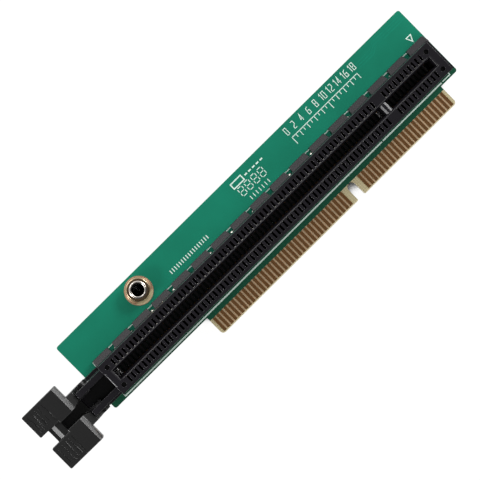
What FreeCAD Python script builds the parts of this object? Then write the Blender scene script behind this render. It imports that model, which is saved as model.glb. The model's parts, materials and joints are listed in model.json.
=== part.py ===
"""Riser card: a narrow printed board with a long card slot on its face and an edge tongue.

The model is in millimetres. While it is built, X runs along the slot from the latch end to the
pin one end, Y = 0 is the slot's middle plane with the tongue on the -Y side, and Z = 0 is the
face of the board that carries the slot. At the end everything moves together, so that the
origin lies under the middle of the whole part, on the plane of the solder tails' tips.
"""
import FreeCAD, Part
import math
import os

V = FreeCAD.Vector

# Board
board_thickness = 1.6
board_corner = 0.5
latch_end_margin = 3.55        # board edge to slot housing, at the latch end
pin_one_margin = 2.15          # board edge to slot housing, at the pin one end
plain_edge_distance = 11.75    # slot's middle plane to the board's plain long edge
tongue_edge_distance = 4.95    # slot's middle plane to the long edge that carries the tongue

# Edge tongue with its gold pads
tongue_offset = 25.2           # board's latch end to the tongue
tongue_reach = 4.5
tongue_corner = 0.8
tongue_bevel = 0.25
pad_pitch = 1.0
pad_width = 0.62
pad_thickness = 0.04
pad_inset = 0.85               # board's long edge to the pads' roots
long_bank_pads = 36
short_bank_pads = 24
end_pad_distance = 0.95        # last pad's middle to the tongue's end
key_pad_distance = 2.5         # key notch's middle to the nearest pad's middle
key_notch_width = 1.85
key_notch_depth = 3.7

# Slot housing
contact_pitch = 1.0
long_side_contacts = 71
short_side_contacts = 11
key_contact_distance = 1.5     # slot key's middle to the nearest contact
slot_end_distance = 1.3        # last contact to the slot's end
slot_width = 1.75
slot_floor = 1.8               # board to the bottom of the slot
slot_key_thickness = 1.4
slot_key_slope_run = 0.45      # each sloped top edge of the key, along the slot
slot_key_slope_drop = 0.33
slot_key_drop = 0.25           # housing's top face down to the key's top
end_wall = 1.7
housing_height = 11.25
housing_base_width = 7.2
housing_top_width = 7.2
lead_in_width = 0.33
lead_in_depth = 0.9
end_lead_in_width = 0.27
end_lead_in_depth = 0.2
latch_edge_run = 0.22          # sloped top edge of the latch end's wall, between the ears
latch_edge_drop = 0.16
latch_edge_reach = 1.75

# Contact chambers inside the housing
chamber_width = 0.45
chamber_base_reach = 3.45      # middle plane to the chamber's outer wall, at the board
window_outer_reach = 2.95      # the same at the housing's top face
window_inner_reach = 1.5
lip_height = 1.95              # depth of the lip between a window and the slot

# Foot blocks along the plain side
foot_reach = 4.85
foot_outer_height = 1.9
foot_inner_height = 2.7
foot_gap = 1.35                # gap's width at the blocks' outer faces
foot_taper = 0.2               # how much a block's end slants, from the housing to its outer face
foot_gap_pitch = 5.42
first_foot_gap = 3.35          # pin one end to the first gap's middle
last_foot_length = 2.0         # shortest block left at the latch end
last_foot_overhang = 0.4       # last block's reach beyond the housing's latch end
foot_root = 0.4                # how far the blocks run into the housing's side
end_foot_reach = 1.8           # foot's reach beyond the housing's pin one end
end_foot_half_width = 4.0

# Locating pegs and ejector marks
key_peg_radius = 1.0
end_peg_radius = 0.8
peg_length = 1.4
peg_clearance = 0.08
ejector_mark_radius = 0.5
ejector_mark_depth = 0.3
ejector_mark_inset = 1.4
ejector_mark_reach = 2.3

# Contact springs
strip_thickness = 0.2
strip_width = 0.35
tail_length = 1.1              # tail's reach beyond the board's back
tail_knee = 1.0                # height of the bend above the board
inner_row = 1.25
outer_row = 3.25
touch_reach = 0.8              # middle plane to the strip's middle where it meets a card
touch_drop = 3.05              # housing's top face down to where the strip meets a card
tip_reach = 1.45
tip_drop = 1.05
tail_hole_width = 0.55

# Ears that carry the latch
ear_length = 6.75
ear_height = 9.0
ear_nose_height = 6.4
ear_nose_length = 1.8
ear_inner = 1.66
ear_outer = 2.9
ear_floor_height = 1.4
ear_floor_lip = 0.5            # floor's reach beyond the ears' ends
ear_flange_reach = 3.6         # flange beside the ears, over the board
ear_flange_height = 2.4
ear_flange_lip = 1.0            # flange's low step beyond the board's end
ear_boss_thickness = 0.45
ear_boss_length = 2.6
ear_boss_base = 1.7
ear_boss_top = 5.4

# Latch lever
pivot_distance = 5.3           # housing's end to the pivot
pivot_height = 3.5
pin_radius = 0.8
pin_clearance = 0.05
pin_length = 1.1
arm_gap = 0.1
arm_thickness = 0.75
arm_nose_radius = 1.5
root_gap = 0.15                # ears' ends to the lever's root
handle_gap = 1.75              # ears' ends to the handle
handle_length = 8.8
handle_half_width = 6.85
handle_corner = 0.3
handle_tip_thickness = 2.2
handle_tip_top = 8.3
handle_crest_top = 9.5
handle_crest_distance = 0.85   # handle's inner face to its crest
handle_inner_top = 8.7
handle_under_height = 5.4
root_low_height = 3.9
root_top_step = 0.5            # handle's inner face down to the root's top
arm_low_step = 0.25            # root's low edge down to the arms' low edge
root_belly_height = 2.4
root_belly_distance = 2.6
root_length = 6.0
notch_half_width = 1.5
notch_depth = 1.95
channel_half_width = 0.97
channel_floor = 5.6
hook_bar_length = 2.85
hook_bar_top = 8.5
hook_bar_foot = 7.75
hook_slope_start = 0.75        # bar's outer face to the foot of the slope
hook_slope_length = 0.87
grip_groove_count = 5
grip_groove_pitch = 0.9
grip_groove_width = 0.2
grip_groove_depth = 0.07
grip_groove_start = 0.9
grip_groove_margin = 0.75

# Threaded standoff and its copper rings
standoff_from_end = 19.45      # board's latch end to the copper rings' middle
standoff_from_edge = 3.43      # board's plain edge to the copper rings' middle
standoff_shift = 0.3           # how far the soldered standoff sits off the rings' middle
standoff_radius = 2.35
standoff_height = 1.5
standoff_bore_radius = 1.25
standoff_mouth_radius = 1.65
standoff_edge = 0.2
spigot_radius = 1.75
spigot_length = 1.3
standoff_hole_radius = 2.1
ring_radius = 2.925
ring_thickness = 0.04
solder_ring_width = 0.24
solder_ring_height = 0.4

# Places that follow from the sizes
contact_span = (long_side_contacts - 1 + short_side_contacts - 1) * contact_pitch
slot_length = contact_span + 2 * key_contact_distance + 2 * slot_end_distance
housing_length = slot_length + 2 * end_wall
housing_start = -housing_length / 2
housing_end = housing_length / 2
slot_start = housing_start + end_wall
slot_end = housing_end - end_wall
short_reach = key_contact_distance + (short_side_contacts - 1) * contact_pitch + slot_end_distance
key_x = slot_end - short_reach
slot_half = slot_width / 2
board_start = housing_start - latch_end_margin
board_end = housing_end + pin_one_margin
board_back = -board_thickness
plain_edge = plain_edge_distance
tongue_edge = -tongue_edge_distance
tongue_tip = tongue_edge - tongue_reach
tongue_start = board_start + tongue_offset
long_bank_start = tongue_start + end_pad_distance
notch_x = long_bank_start + (long_bank_pads - 1) * pad_pitch + key_pad_distance
short_bank_start = notch_x + key_pad_distance
tongue_end = short_bank_start + (short_bank_pads - 1) * pad_pitch + end_pad_distance
tail_tip = board_back - tail_length
end_peg_x = housing_start + end_wall / 2
ears_end = housing_start - ear_length
pivot_x = housing_start - pivot_distance
handle_inner = ears_end - handle_gap
handle_outer = handle_inner - handle_length
standoff_x = board_start + standoff_from_end
ring_y = plain_edge - standoff_from_edge
standoff_y = ring_y + standoff_shift
seat_z = ring_thickness

# Tool overlap beyond a face that a cut goes through
over = 1.0


def prism(corners, sweep):
    """Solid made by sweeping a closed polygon of 3-D corners."""
    outline = Part.makePolygon(corners + [corners[0]])
    return Part.Face(outline).extrude(sweep)


def prism_along_x(section, start, end):
    """Sweep a (y, z) section along X."""
    return prism([V(start, y, z) for y, z in section], V(end - start, 0, 0))


def prism_along_y(profile, start, end):
    """Sweep an (x, z) profile along Y."""
    return prism([V(x, start, z) for x, z in profile], V(0, end - start, 0))


def prism_along_z(plan, start, end):
    """Sweep an (x, y) plan along Z."""
    return prism([V(x, y, start) for x, y in plan], V(0, 0, end - start))


def block(x_range, y_range, z_range):
    """Box between two limits on each axis."""
    low = V(x_range[0], y_range[0], z_range[0])
    size = [limits[1] - limits[0] for limits in (x_range, y_range, z_range)]
    return Part.makeBox(size[0], size[1], size[2], low)


def round_bar(radius, start, end, x, y):
    """Cylinder along Z."""
    return Part.makeCylinder(radius, end - start, V(x, y, start))


def both_sides(shape):
    """A shape and its mirror image across the slot's middle plane."""
    return [shape, shape.mirror(V(0, 0, 0), V(0, 1, 0))]


def rounded_wire(corners, height):
    """Closed wire through (x, y, radius) corners, each turned into an arc where it has a radius."""
    points = [V(x, y, height) for x, y, radius in corners]
    edges = []
    entries = []
    exits = []
    for index, (x, y, radius) in enumerate(corners):
        here = points[index]
        back = (points[index - 1] - here).normalize()
        ahead = (points[(index + 1) % len(points)] - here).normalize()
        half_angle = back.getAngle(ahead) / 2
        entry = here + back * (radius / math.tan(half_angle))
        exit_point = here + ahead * (radius / math.tan(half_angle))
        entries.append(entry)
        exits.append(exit_point)
        if radius > 0:
            middle = here + (back + ahead).normalize() * (radius / math.sin(half_angle) - radius)
            edges.append((index, Part.Arc(entry, middle, exit_point).toShape()))
    for index in range(len(corners)):
        after = (index + 1) % len(corners)
        edges.append((index + 0.5, Part.LineSegment(exits[index], entries[after]).toShape()))
    edges.sort(key=lambda item: item[0])
    return Part.Wire([edge for order, edge in edges])


def contact_places():
    """X of each contact, with True for every other one along the slot."""
    long_side = [key_x - key_contact_distance - i * contact_pitch for i in range(long_side_contacts)]
    short_side = [key_x + key_contact_distance + i * contact_pitch for i in range(short_side_contacts)]
    places = [(x, i % 2 == 0) for i, x in enumerate(long_side)]
    places += [(x, i % 2 == 1) for i, x in enumerate(short_side)]
    return places


def tail_is_inner(is_even, side):
    """Whether a contact's tail is in the inner row: the slot's two sides take turns."""
    return is_even == (side < 0)


def square_wire(x, y, width, height):
    """Square hole outline about a point."""
    half = width / 2
    corners = [V(x - half, y - half, height), V(x + half, y - half, height)]
    corners += [V(x + half, y + half, height), V(x - half, y + half, height)]
    return Part.makePolygon(corners + [corners[0]])


def circle_wire(x, y, radius, height):
    """Round hole outline about a point."""
    return Part.Wire(Part.makeCircle(radius, V(x, y, height)))


def board():
    """Glass-fibre board: outline with the tongue and its key notch, holes, bevelled tongue."""
    notch_half = key_notch_width / 2
    notch_top = tongue_tip + key_notch_depth
    outline = rounded_wire(
        [
            (board_start, tongue_edge, board_corner),
            (tongue_start, tongue_edge, 0),
            (tongue_start, tongue_tip, tongue_corner),
            (notch_x - notch_half, tongue_tip, tongue_bevel),
            (notch_x - notch_half, notch_top, notch_half * 0.999),
            (notch_x + notch_half, notch_top, notch_half * 0.999),
            (notch_x + notch_half, tongue_tip, tongue_bevel),
            (tongue_end, tongue_tip, tongue_corner),
            (tongue_end, tongue_edge, 0),
            (board_end, tongue_edge, board_corner),
            (board_end, plain_edge, board_corner),
            (board_start, plain_edge, board_corner),
        ],
        board_back,
    )
    holes = [circle_wire(standoff_x, ring_y, standoff_hole_radius, board_back)]
    holes.append(circle_wire(key_x, 0, key_peg_radius + peg_clearance, board_back))
    holes.append(circle_wire(end_peg_x, 0, end_peg_radius + peg_clearance, board_back))
    for x, is_even in contact_places():
        for side in (-1, 1):
            row = inner_row if tail_is_inner(is_even, side) else outer_row
            holes.append(square_wire(x, side * row, tail_hole_width, board_back))
    face = Part.makeFace([outline] + holes, "Part::FaceMakerBullseye")
    plate = face.extrude(V(0, 0, board_thickness))
    front_bevel = [
        (tongue_tip + tongue_bevel + over, over),
        (tongue_tip - over, over),
        (tongue_tip - over, -tongue_bevel - over),
    ]
    back_bevel = [(y, board_back - z) for y, z in front_bevel]
    ends = (tongue_start - over, tongue_end + over)
    return plate.cut([prism_along_x(bevel, ends[0], ends[1]) for bevel in (front_bevel, back_bevel)])


def pads(first_x, count, face_z):
    """One bank of gold pads on one face of the tongue."""
    y_range = (tongue_tip + tongue_bevel, tongue_edge - pad_inset)
    z_range = (face_z, face_z + pad_thickness)
    half = pad_width / 2
    middles = [first_x + i * pad_pitch for i in range(count)]
    return Part.makeCompound([block((x - half, x + half), y_range, z_range) for x in middles])


def housing_body():
    """Outer form of the slot housing, with slightly leaning side walls."""
    base = housing_base_width / 2
    top = housing_top_width / 2
    section = [(-base, 0), (base, 0), (top, housing_height), (-top, housing_height)]
    return prism_along_x(section, housing_start, housing_end)


def foot_blocks():
    """Row of blocks at the foot of the plain side, parted by gaps."""
    first = housing_end - first_foot_gap
    room = first - housing_start - foot_gap / 2 - last_foot_length
    gaps = [first - i * foot_gap_pitch for i in range(int(room / foot_gap_pitch) + 1)]
    limits = [housing_end + end_foot_reach - foot_taper]
    for middle in gaps:
        limits += [middle + foot_gap / 2, middle - foot_gap / 2]
    limits.append(housing_start - last_foot_overhang + foot_taper)
    side = housing_top_width / 2
    inside = side - foot_root
    section = [(inside, 0), (foot_reach, 0), (foot_reach, foot_outer_height)]
    section += [(side, foot_inner_height), (inside, foot_inner_height)]
    blocks = []
    for index in range(0, len(limits), 2):
        start = limits[index + 1]
        end = limits[index]
        wide_start = start - foot_taper
        wide_end = end + foot_taper
        plan = [(start, foot_reach), (wide_start, side), (wide_start, inside)]
        plan += [(wide_end, inside), (wide_end, side), (end, foot_reach)]
        row_piece = prism_along_x(section, wide_start, wide_end)
        blocks.append(row_piece.common(prism_along_z(plan, 0, foot_inner_height)))
    return blocks


def end_foot():
    """Low foot that carries on past the housing at the pin one end."""
    x_range = (housing_end - end_wall / 2, housing_end + end_foot_reach)
    return block(x_range, (-end_foot_half_width, housing_top_width / 2), (0, foot_outer_height))


def slot_well(start, end):
    """Well for a card's edge between two ends, with a lead-in all round its mouth."""
    well = block((start, end), (-slot_half, slot_half), (slot_floor, housing_height + over))
    mouth = slot_half + lead_in_width
    side_slope = lead_in_width / lead_in_depth
    section = [
        (-slot_half, housing_height - lead_in_depth),
        (slot_half, housing_height - lead_in_depth),
        (mouth + side_slope * over, housing_height + over),
        (-mouth - side_slope * over, housing_height + over),
    ]
    return [well, prism_along_x(section, start, end)]


def end_lead_in(x, outward):
    """Sloped lead-in at one end of the slot."""
    mouth = slot_half + lead_in_width
    slope = end_lead_in_width / end_lead_in_depth
    profile = [
        (x - outward * over, housing_height + over),
        (x - outward * over, housing_height - end_lead_in_depth),
        (x, housing_height - end_lead_in_depth),
        (x + outward * (end_lead_in_width + slope * over), housing_height + over),
    ]
    return prism_along_y(profile, -mouth, mouth)


def slot_key():
    """Key across the slot, with both top edges sloped."""
    half = slot_key_thickness / 2
    top = housing_height - slot_key_drop
    profile = [
        (key_x - half, slot_floor),
        (key_x + half, slot_floor),
        (key_x + half, top - slot_key_slope_drop),
        (key_x + half - slot_key_slope_run, top),
        (key_x - half + slot_key_slope_run, top),
        (key_x - half, top - slot_key_slope_drop),
    ]
    return prism_along_y(profile, -slot_half - lead_in_width, slot_half + lead_in_width)


def chambers():
    """One chamber for each pair of contacts: two windows at the top, open to the slot and the board."""
    past = over / 10
    lip_slope = (window_inner_reach - slot_half + past) / lip_height
    one_side = [
        (chamber_base_reach, -past),
        (window_outer_reach, housing_height + past),
        (window_inner_reach + lip_slope * past, housing_height + past),
        (slot_half - past, housing_height - lip_height),
    ]
    section = one_side + [(-y, z) for y, z in one_side[::-1]]
    half = chamber_width / 2
    return [prism_along_x(section, x - half, x + half) for x, is_even in contact_places()]


def ear():
    """Ear on one side of the latch, with a boss round the pivot hole."""
    profile = [
        (housing_start + end_wall / 2, 0),
        (ears_end, 0),
        (ears_end, ear_nose_height),
        (ears_end + ear_nose_length, ear_height),
        (housing_start + end_wall / 2, ear_height),
    ]
    plate = prism_along_y(profile, ear_inner, ear_outer)
    boss = block((ears_end, ears_end + ear_boss_length), (ear_inner - ear_boss_thickness, ear_inner),
                 (ear_boss_base, ear_boss_top))
    return plate.fuse(boss)


def pivot_hole():
    """Hole for the lever's pins through both ears."""
    start = V(pivot_x, -ear_outer - over, pivot_height)
    return Part.makeCylinder(pin_radius + pin_clearance, 2 * (ear_outer + over), start, V(0, 1, 0))


def latch_edge():
    """Slope on the top edge of the latch end's wall, between the ears."""
    profile = [
        (housing_start - over, housing_height + over),
        (housing_start - over, housing_height - latch_edge_drop),
        (housing_start, housing_height - latch_edge_drop),
        (housing_start + latch_edge_run, housing_height),
        (housing_start + latch_edge_run, housing_height + over),
    ]
    return prism_along_y(profile, -latch_edge_reach, latch_edge_reach)


def ejector_marks():
    """Shallow round marks at the four corners of the housing's top face."""
    marks = []
    for x in (housing_start + ejector_mark_inset, housing_end - ejector_mark_inset):
        z_range = (housing_height - ejector_mark_depth, housing_height + over)
        marks += both_sides(round_bar(ejector_mark_radius, z_range[0], z_range[1], x, ejector_mark_reach))
    return marks


def slot_housing():
    """Moulded slot housing with its ears, feet, pegs, slot, key and contact chambers."""
    ears = both_sides(ear())
    inside = housing_start + end_wall / 2
    floor = block((ears_end - ear_floor_lip, inside), (-ear_outer, ear_outer), (0, ear_floor_height))
    flange = block((board_start, inside), (-ear_flange_reach, ear_flange_reach), (0, ear_flange_height))
    flange = flange.cut(block((board_start - over, housing_start), (-ear_inner, ear_inner), (0, ear_height)))
    step = block((board_start - ear_flange_lip, inside), (-ear_flange_reach, ear_flange_reach), (0, ear_floor_height))
    pegs = [round_bar(key_peg_radius, -peg_length, end_wall / 2, key_x, 0)]
    pegs.append(round_bar(end_peg_radius, -peg_length, end_wall / 2, end_peg_x, 0))
    extras = foot_blocks() + ears + pegs + [end_foot(), floor, flange, step]
    solid = housing_body().fuse(extras).removeSplitter()
    cuts = slot_well(slot_start, slot_end)
    cuts += [end_lead_in(slot_start, -1), end_lead_in(slot_end, 1), latch_edge(), pivot_hole()]
    solid = solid.cut(cuts + ejector_marks()).fuse(slot_key()).removeSplitter()
    return solid.cut(chambers())


def strip_outline(path, thickness):
    """Outline of a bent strip about a path of (y, z) points, with mitred bends."""
    points = [V(y, z, 0) for y, z in path]
    directions = [(points[i + 1] - points[i]).normalize() for i in range(len(points) - 1)]
    directions = [directions[0]] + directions + [directions[-1]]
    left = []
    right = []
    for index, point in enumerate(points):
        before = V(-directions[index].y, directions[index].x, 0)
        after = V(-directions[index + 1].y, directions[index + 1].x, 0)
        mitre = (before + after) * (thickness / (before + after).dot(after) / 2)
        left.append((point.x + mitre.x, point.y + mitre.y))
        right.append((point.x - mitre.x, point.y - mitre.y))
    return left + right[::-1]


def contacts(tail_row, wants_inner, side):
    """All contact springs of one side whose tails are in one row."""
    touch = (touch_reach, housing_height - touch_drop)
    tip = (tip_reach, housing_height - tip_drop)
    path = [(tail_row, tail_tip), touch, tip]
    if not wants_inner:
        path.insert(1, (tail_row, tail_knee))
    outline = strip_outline([(side * y, z) for y, z in path], strip_thickness)
    half = strip_width / 2
    springs = []
    for x, is_even in contact_places():
        if tail_is_inner(is_even, side) == wants_inner:
            springs.append(prism_along_x(outline, x - half, x + half))
    return Part.makeCompound(springs)


def handle():
    """Grip of the lever: a plate seen as an H from above, thin at its tip."""
    notch_x_end = handle_outer + notch_depth
    plan = rounded_wire(
        [
            (handle_outer, -handle_half_width, handle_corner),
            (handle_inner, -handle_half_width, handle_corner),
            (handle_inner, handle_half_width, handle_corner),
            (handle_outer, handle_half_width, handle_corner),
            (handle_outer, notch_half_width, handle_corner),
            (notch_x_end, notch_half_width, 0),
            (notch_x_end, -notch_half_width, 0),
            (handle_outer, -notch_half_width, handle_corner),
        ],
        0,
    )
    column = Part.Face(plan).extrude(V(0, 0, housing_height))
    profile = [
        (handle_outer, handle_tip_top - handle_tip_thickness),
        (handle_inner, handle_under_height),
        (handle_inner, handle_inner_top),
        (handle_inner - handle_crest_distance, handle_crest_top),
        (handle_outer, handle_tip_top),
    ]
    plate = prism_along_y(profile, -handle_half_width - over, handle_half_width + over)
    return column.common(plate)


def grip_grooves():
    """Shallow grooves across both halves of the grip."""
    grooves = []
    slope = (handle_crest_top - handle_tip_top) / (handle_length - handle_crest_distance)
    for index in range(grip_groove_count):
        x = handle_outer + grip_groove_start + index * grip_groove_pitch
        bottom = handle_tip_top + (x - handle_outer) * slope - grip_groove_depth
        groove = block((x, x + grip_groove_width),
                       (notch_half_width + grip_groove_margin, handle_half_width - grip_groove_margin),
                       (bottom, housing_height))
        grooves += both_sides(groove)
    return grooves


def lever_root():
    """Body of the lever under the grip, between the grip and the arms."""
    root_end = ears_end - root_gap
    profile = [
        (root_end, root_low_height),
        (root_end, handle_inner_top - root_top_step),
        (handle_inner, handle_inner_top),
        (root_end - root_length, handle_under_height),
        (root_end - root_belly_distance, root_belly_height),
    ]
    reach = ear_outer + arm_gap + arm_thickness
    return prism_along_y(profile, -reach, reach)


def card_channel():
    """Channel for a card's tab, which widens to the space between the ears."""
    inner_face = handle_outer + notch_depth + hook_bar_length
    root_end = ears_end - root_gap
    plan = [
        (inner_face, -channel_half_width),
        (handle_inner, -channel_half_width),
        (root_end, -ear_inner),
        (root_end + over, -ear_inner),
        (root_end + over, ear_inner),
        (root_end, ear_inner),
        (handle_inner, channel_half_width),
        (inner_face, channel_half_width),
    ]
    return prism_along_z(plan, channel_floor, housing_height)


def hook_bar_relief():
    """Space above the hook bar, which leaves its slope and its low outer step."""
    outer_face = handle_outer + notch_depth
    foot_end = outer_face + hook_slope_start
    slope_end = foot_end + hook_slope_length
    profile = [
        (outer_face - over, hook_bar_foot),
        (foot_end, hook_bar_foot),
        (slope_end, hook_bar_top),
        (outer_face + hook_bar_length, hook_bar_top),
        (outer_face + hook_bar_length, housing_height),
        (outer_face - over, housing_height),
    ]
    return prism_along_y(profile, -notch_half_width, notch_half_width)


def arm():
    """Arm that runs outside one ear, with the pin that it turns on."""
    start = ear_outer + arm_gap
    root_end = ears_end - root_gap
    nose = Part.makeCylinder(arm_nose_radius, arm_thickness, V(pivot_x, start, pivot_height), V(0, 1, 0))
    profile = [
        (pivot_x, pivot_height - arm_nose_radius),
        (pivot_x, pivot_height + arm_nose_radius),
        (root_end, handle_inner_top - root_top_step),
        (handle_inner, handle_inner_top - root_top_step),
        (handle_inner, root_low_height - arm_low_step),
        (root_end, pivot_height - arm_nose_radius),
    ]
    bar = prism_along_y(profile, start, start + arm_thickness)
    pin_start = V(pivot_x, start - pin_length, pivot_height)
    pin = Part.makeCylinder(pin_radius, pin_length + arm_thickness / 2, pin_start, V(0, 1, 0))
    return nose.fuse([bar, pin])


def latch_lever():
    """One-piece latch lever: grip, root, hook bar, arms and pivot pins."""
    arms = both_sides(arm())
    solid = handle().fuse([lever_root()] + arms)
    return solid.cut([card_channel(), hook_bar_relief()] + grip_grooves()).removeSplitter()


def standoff():
    """Threaded standoff: a turned collar with a chamfered mouth and a spigot into the board."""
    top = seat_z + standoff_height
    mouth_depth = standoff_mouth_radius - standoff_bore_radius
    profile = [
        V(standoff_bore_radius, 0, seat_z - spigot_length),
        V(spigot_radius, 0, seat_z - spigot_length),
        V(spigot_radius, 0, seat_z),
        V(standoff_radius, 0, seat_z),
        V(standoff_radius, 0, top - standoff_edge),
        V(standoff_radius - standoff_edge, 0, top),
        V(standoff_mouth_radius, 0, top),
        V(standoff_bore_radius, 0, top - mouth_depth),
    ]
    half = Part.Face(Part.makePolygon(profile + [profile[0]]))
    turned = half.revolve(V(0, 0, 0), V(0, 0, 1), 360)
    turned.translate(V(standoff_x, standoff_y, 0))
    return turned


def standoff_solder():
    """Solder fillet round the foot of the standoff."""
    profile = [
        V(standoff_radius, 0, seat_z),
        V(standoff_radius + solder_ring_width, 0, seat_z),
        V(standoff_radius, 0, seat_z + solder_ring_height),
    ]
    half = Part.Face(Part.makePolygon(profile + [profile[0]]))
    fillet = half.revolve(V(0, 0, 0), V(0, 0, 1), 360)
    fillet.translate(V(standoff_x, standoff_y, 0))
    return fillet


def copper_ring(bottom):
    """Copper ring round the standoff's hole, on one face of the board."""
    ring = round_bar(ring_radius, bottom, bottom + ring_thickness, standoff_x, ring_y)
    hole = round_bar(standoff_hole_radius, bottom - over, bottom + over, standoff_x, ring_y)
    return ring.cut(hole)


pieces = {
    "board": board(),
    "front_pads_long_bank": pads(long_bank_start, long_bank_pads, 0),
    "front_pads_short_bank": pads(short_bank_start, short_bank_pads, 0),
    "back_pads_long_bank": pads(long_bank_start, long_bank_pads, board_back - pad_thickness),
    "back_pads_short_bank": pads(short_bank_start, short_bank_pads, board_back - pad_thickness),
    "slot_housing": slot_housing(),
    "tongue_side_inner_contacts": contacts(inner_row, True, -1),
    "tongue_side_outer_contacts": contacts(outer_row, False, -1),
    "plain_side_inner_contacts": contacts(inner_row, True, 1),
    "plain_side_outer_contacts": contacts(outer_row, False, 1),
    "latch_lever": latch_lever(),
    "standoff": standoff(),
    "standoff_solder": standoff_solder(),
    "front_copper_ring": copper_ring(0),
    "back_copper_ring": copper_ring(board_back - ring_thickness),
}

# Move the origin under the middle of the whole part
middle_x = (handle_outer + board_end) / 2
middle_y = (tongue_tip + plain_edge) / 2
to_origin = V(-middle_x, -middle_y, -tail_tip)

os.makedirs("parts", exist_ok=True)
for name, shape in pieces.items():
    shape.translate(to_origin)
    shape.exportStep(f"parts/{name}.step")
    print(name, len(shape.Solids), round(shape.Volume, 2), shape.isValid())
print("moved by", to_origin)
print("pivot", V(pivot_x, 0, pivot_height) + to_origin)
print("standoff mouth", V(standoff_x, standoff_y, seat_z + standoff_height) + to_origin)
print("slot middle", V((slot_start + slot_end) / 2, 0, housing_height) + to_origin)
print("tongue tip", V((tongue_start + tongue_end) / 2, tongue_tip, board_back / 2) + to_origin)
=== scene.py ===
# %% [markdown]
# # A riser card, dressed over its solids
#
# The object is a narrow green circuit board with a long black card slot on its face, a gold edge
# tongue on one long side, a threaded standoff near one end and a black latch lever beyond it.
# The solids arrive at their true size and place. This script gives each one its finish, swaps the
# two moulded pieces and the standoff for finer meshes, and adds the print, traces and solder.

# %% Load the solids
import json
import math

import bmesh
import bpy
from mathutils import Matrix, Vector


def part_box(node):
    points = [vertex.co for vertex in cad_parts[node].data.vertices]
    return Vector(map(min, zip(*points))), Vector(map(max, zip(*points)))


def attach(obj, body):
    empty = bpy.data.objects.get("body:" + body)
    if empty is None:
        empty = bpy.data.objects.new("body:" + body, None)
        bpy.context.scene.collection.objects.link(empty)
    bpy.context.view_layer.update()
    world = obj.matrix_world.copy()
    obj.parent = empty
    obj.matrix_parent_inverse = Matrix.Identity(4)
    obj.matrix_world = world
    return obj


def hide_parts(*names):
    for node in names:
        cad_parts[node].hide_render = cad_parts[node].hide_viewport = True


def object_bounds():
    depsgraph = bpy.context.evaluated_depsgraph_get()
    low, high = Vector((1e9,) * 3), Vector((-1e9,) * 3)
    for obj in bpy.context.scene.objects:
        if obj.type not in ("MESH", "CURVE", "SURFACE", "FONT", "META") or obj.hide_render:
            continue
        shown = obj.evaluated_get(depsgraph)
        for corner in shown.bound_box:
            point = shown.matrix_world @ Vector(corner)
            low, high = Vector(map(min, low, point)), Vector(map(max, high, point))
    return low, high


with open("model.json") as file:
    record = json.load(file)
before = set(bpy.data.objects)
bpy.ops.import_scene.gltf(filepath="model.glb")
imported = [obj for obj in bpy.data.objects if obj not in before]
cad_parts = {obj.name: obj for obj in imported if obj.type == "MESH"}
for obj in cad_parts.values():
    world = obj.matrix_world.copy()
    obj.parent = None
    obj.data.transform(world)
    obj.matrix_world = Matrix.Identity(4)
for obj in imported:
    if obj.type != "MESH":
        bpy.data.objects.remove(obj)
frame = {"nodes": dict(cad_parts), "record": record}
cad_low, cad_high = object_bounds()

# %% [markdown]
# ## Units and places
#
# The solids are in metres, and MM turns a size in millimetres into metres. Places come from the
# solids' own boxes and from the mounts that the frame lists: the board's face, the middle of the
# slot, the line where the gold pads begin and the mouth of the standoff. Whatever is added later
# is placed from these, so it stays on the part when a size changes.

MM = 0.001
board_low, board_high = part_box("board")
housing_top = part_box("slot_housing")[1].z
mounts = {mount["name"]: mount for mount in frame["record"]["mounts"]}
slot_x, slot_y = mounts["card_slot"]["pos_m"][:2]
pad_root_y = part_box("front_pads_long_bank")[1].y
standoff_middle = Vector(mounts["standoff_thread"]["pos_m"])
print("whole part, mm:", [round(1000 * size, 2) for size in cad_high - cad_low])
print("board's face lies at z", round(1000 * board_high.z, 2), "mm")

# %% [markdown]
# ## Small helpers
#
# Screens show sRGB, while a shader works in linear light, so every colour below is written as the
# hex value that an eye would pick and one function turns it to linear. The second helper adds a
# node, sets its own properties, and fills or links its sockets. It keeps a material's recipe to
# one call for each node, which reads like a list of what the finish is made of. The others fill
# a colour ramp, start a material, and give the place on the part in millimetres.

# %% Colour and node helpers
def linear(hex_colour):
    """Linear RGBA from an sRGB hex colour such as #1c6f58."""
    channels = [int(hex_colour[i:i + 2], 16) / 255 for i in (1, 3, 5)]
    return [c / 12.92 if c <= 0.04045 else ((c + 0.055) / 1.055) ** 2.4 for c in channels] + [1.0]


def add_node(tree, kind, inputs=None, **properties):
    """Add a node: properties are its own settings, inputs are values or sockets to link from."""
    node = tree.nodes.new(kind)
    for name, value in properties.items():
        setattr(node, name, value)
    for socket, value in (inputs or {}).items():
        if isinstance(value, bpy.types.NodeSocket):
            tree.links.new(value, node.inputs[socket])
        else:
            node.inputs[socket].default_value = value
    return node


def set_stops(ramp, hex_colours):
    """Give a colour ramp its stops, from a dictionary of position and hex colour."""
    stops = ramp.color_ramp.elements
    while len(stops) < len(hex_colours):
        stops.new(0.5)
    for stop, (position, hex_colour) in zip(stops, hex_colours.items()):
        stop.position = position
        stop.color = linear(hex_colour)


def new_material(name, **sockets):
    """Material with a principled shader, whose plain values are set straight on its sockets."""
    material = bpy.data.materials.new(name)
    material.use_nodes = True
    tree = material.node_tree
    shader = tree.nodes["Principled BSDF"]
    for socket, value in sockets.items():
        shader.inputs[socket.replace("_", " ")].default_value = value
    return material, tree, shader


def place_in_mm(tree):
    """Position on the part in millimetres, so that a pattern's scale can be a real size."""
    place = add_node(tree, "ShaderNodeTexCoord").outputs["Object"]
    scaled = add_node(tree, "ShaderNodeVectorMath", {0: place, "Scale": 1 / MM}, operation="SCALE")
    return scaled.outputs["Vector"]

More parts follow.
